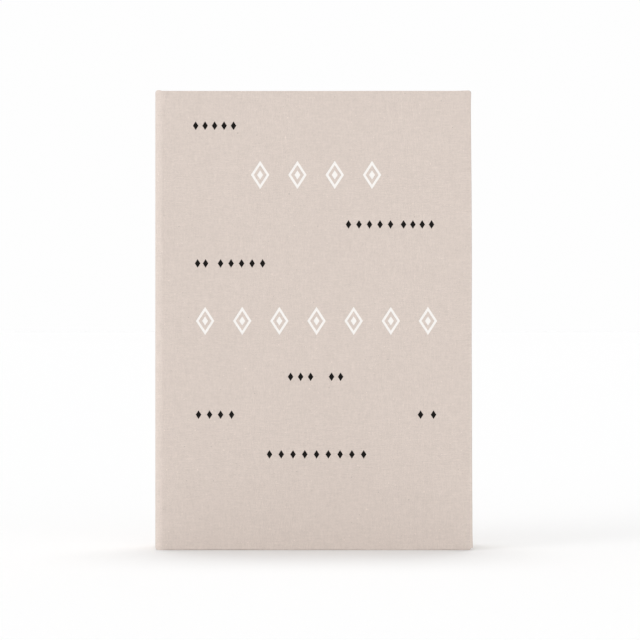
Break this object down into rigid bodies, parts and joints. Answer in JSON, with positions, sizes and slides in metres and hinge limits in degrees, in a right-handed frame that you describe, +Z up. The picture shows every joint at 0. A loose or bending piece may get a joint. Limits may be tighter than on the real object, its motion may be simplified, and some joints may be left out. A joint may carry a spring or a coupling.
{
  "type": "fire blanket",
  "caption": "Folded glass-fibre fire blanket with pull straps, in an upright book-style case of cloth-covered boards with a hinged cover and magnetic closure.",
  "frame": {"origin": "middle of the closed case's footprint, on the surface it stands on", "axes": "+Z up along the case's height, the front cover faces -Y, the spine is at -X"},
  "size_m": [0.175, 0.042, 0.255],
  "materials": {
    "book_cloth": "matte",
    "greyboard": "matte",
    "paper": "matte",
    "panel_card": "satin",
    "magnet_steel": "satin",
    "glass_fibre": "satin",
    "webbing": "matte"
  },
  "bodies": {
    "root": {"back_board": "greyboard", "back_cloth": "book_cloth", "back_joint_lining": "paper", "tray_floor": "greyboard", "tray_head_wall": "greyboard", "tray_tail_wall": "greyboard", "tray_spine_wall": "greyboard", "tray_fore_edge_wall": "greyboard", "tray_fore_edge_liner": "greyboard", "tray_wrap": "paper", "tray_floor_lining": "paper", "tray_magnet_lower": "magnet_steel", "tray_magnet_upper": "magnet_steel", "fire_blanket": "glass_fibre", "pull_strap_left": "webbing", "pull_strap_right": "webbing"},
    "spine": {"spine_board": "greyboard", "spine_cloth": "book_cloth", "spine_lining": "paper"},
    "cover": {"front_board": "greyboard", "front_cloth": "book_cloth", "cover_joint_lining": "paper", "front_endpaper": "paper", "instruction_panel": "panel_card", "cover_magnet_lower": "magnet_steel", "cover_magnet_upper": "magnet_steel"}
  },
  "joints": [
    {"name": "spine_hinge", "type": "hinge", "parent": "root", "child": "spine", "pos_m": [-0.0875, 0.021, 0.1275], "axis": [0, 0, -1], "range_deg": [0, 90]},
    {"name": "cover_hinge", "type": "hinge", "parent": "spine", "child": "cover", "pos_m": [-0.0875, -0.021, 0.1275], "axis": [0, 0, -1], "range_deg": [0, 175]}
  ]
}
